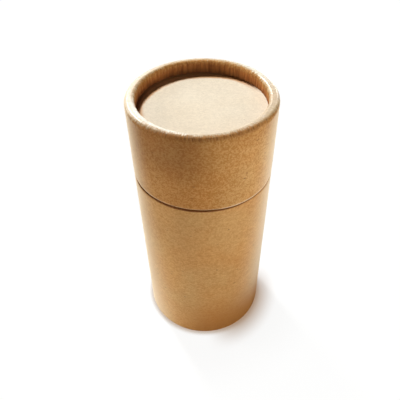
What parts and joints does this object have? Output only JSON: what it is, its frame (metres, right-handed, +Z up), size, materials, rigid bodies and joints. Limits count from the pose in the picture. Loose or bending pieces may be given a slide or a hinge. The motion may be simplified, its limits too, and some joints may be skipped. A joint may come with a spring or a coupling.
{
  "type": "push-up paper tube",
  "caption": "Round kraft paper tube with rolled edges, a pull-off cap flush with the body over a lined neck, and a plunger pushed up through the open foot.",
  "frame": {"origin": "centre of the ring that the base stands on", "axes": "+Z up along the tube's axis, towards the cap; +X and +Y are any two square directions, because the tube is round"},
  "size_m": [0.05, 0.05, 0.106],
  "materials": {
    "kraft_paper": "uncoated kraft paper, finely mottled",
    "wound_board": "grey-brown wound paperboard, bare at its cut edges",
    "kraft_board": "kraft-faced wound paperboard",
    "disc_board": "punched grey-brown paperboard",
    "greaseproof_parchment": "smooth greaseproof paper, faintly shiny"
  },
  "bodies": {
    "base": {"base_wrap": "kraft_paper", "base_core": "wound_board", "neck_tube": "kraft_board", "neck_lining": "greaseproof_parchment"},
    "cap": {"cap_wrap": "kraft_paper", "cap_core": "wound_board", "cap_disc_facing": "kraft_paper", "cap_disc": "disc_board", "cap_disc_lining": "greaseproof_parchment"},
    "plunger": {"plunger_sleeve": "kraft_board", "push_disc_facing": "kraft_paper", "push_disc": "disc_board", "plunger_disc": "disc_board", "plunger_disc_facing": "greaseproof_parchment"}
  },
  "joints": [
    {"name": "cap_lift", "type": "slide", "parent": "base", "child": "cap", "axis": [0, 0, 1], "range_m": [0, 0.035]},
    {"name": "push_up", "type": "slide", "parent": "base", "child": "plunger", "axis": [0, 0, 1], "range_m": [0, 0.0823]}
  ]
}
